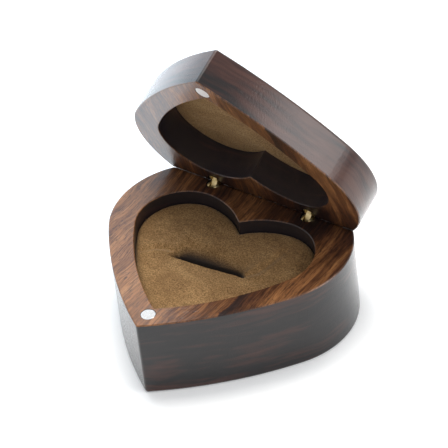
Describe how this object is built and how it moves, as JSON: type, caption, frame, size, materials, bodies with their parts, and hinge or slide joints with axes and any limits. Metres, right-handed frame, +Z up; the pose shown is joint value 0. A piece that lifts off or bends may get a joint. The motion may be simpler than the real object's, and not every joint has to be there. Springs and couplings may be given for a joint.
{
  "type": "ring box",
  "caption": "Heart-shaped wooden ring box with a hinged magnetic lid and a slit suede ring cushion.",
  "frame": {"origin": "middle of the base's flat underside, on the plane of symmetry", "axes": "+Z up; -Y towards the heart's tip, +Y towards its two lobes and the hinges; +X to the right of a person who faces the tip"},
  "size_m": [0.0672, 0.0689, 0.0787],
  "materials": {
    "dark_wood": "satin lacquer over dark reddish-brown figured wood",
    "nickel": "bright nickel plate",
    "brass": "polished brass",
    "suede": "brushed golden-brown suede",
    "foam": "dense grey foam",
    "card": "stiff backing card"
  },
  "bodies": {
    "base": {"base_body": "dark_wood", "base_magnet": "nickel", "cushion_backing_card": "card", "cushion_foam": "foam", "cushion_suede": "suede", "left_base_barrel": "brass", "left_base_pin": "brass", "right_base_barrel": "brass", "right_base_pin": "brass"},
    "left_link": {"left_link": "brass"},
    "right_link": {"right_link": "brass"},
    "lid": {"lid_body": "dark_wood", "lid_magnet": "nickel", "lid_lining_card": "card", "lid_lining_suede": "suede", "left_lid_barrel": "brass", "left_lid_pin": "brass", "right_lid_barrel": "brass", "right_lid_pin": "brass"}
  },
  "joints": [
    {"name": "left_link_swing", "type": "hinge", "parent": "base", "child": "left_link", "pos_m": [-0.01475, 0.02336, 0.02075], "axis": [1, 0, 0], "range_deg": [0, 34]},
    {"name": "right_link_swing", "type": "hinge", "parent": "base", "child": "right_link", "pos_m": [0.01475, 0.02336, 0.02075], "axis": [1, 0, 0], "range_deg": [0, 34]},
    {"name": "lid_swing", "type": "hinge", "parent": "left_link", "child": "lid", "pos_m": [-0.01475, 0.0256, 0.02407], "axis": [1, 0, 0], "range_deg": [0, 34]}
  ],
  "couplings": [
    {"joint": "left_link_swing", "follows": "lid_swing", "ratio": 1},
    {"joint": "right_link_swing", "follows": "lid_swing", "ratio": 1}
  ]
}
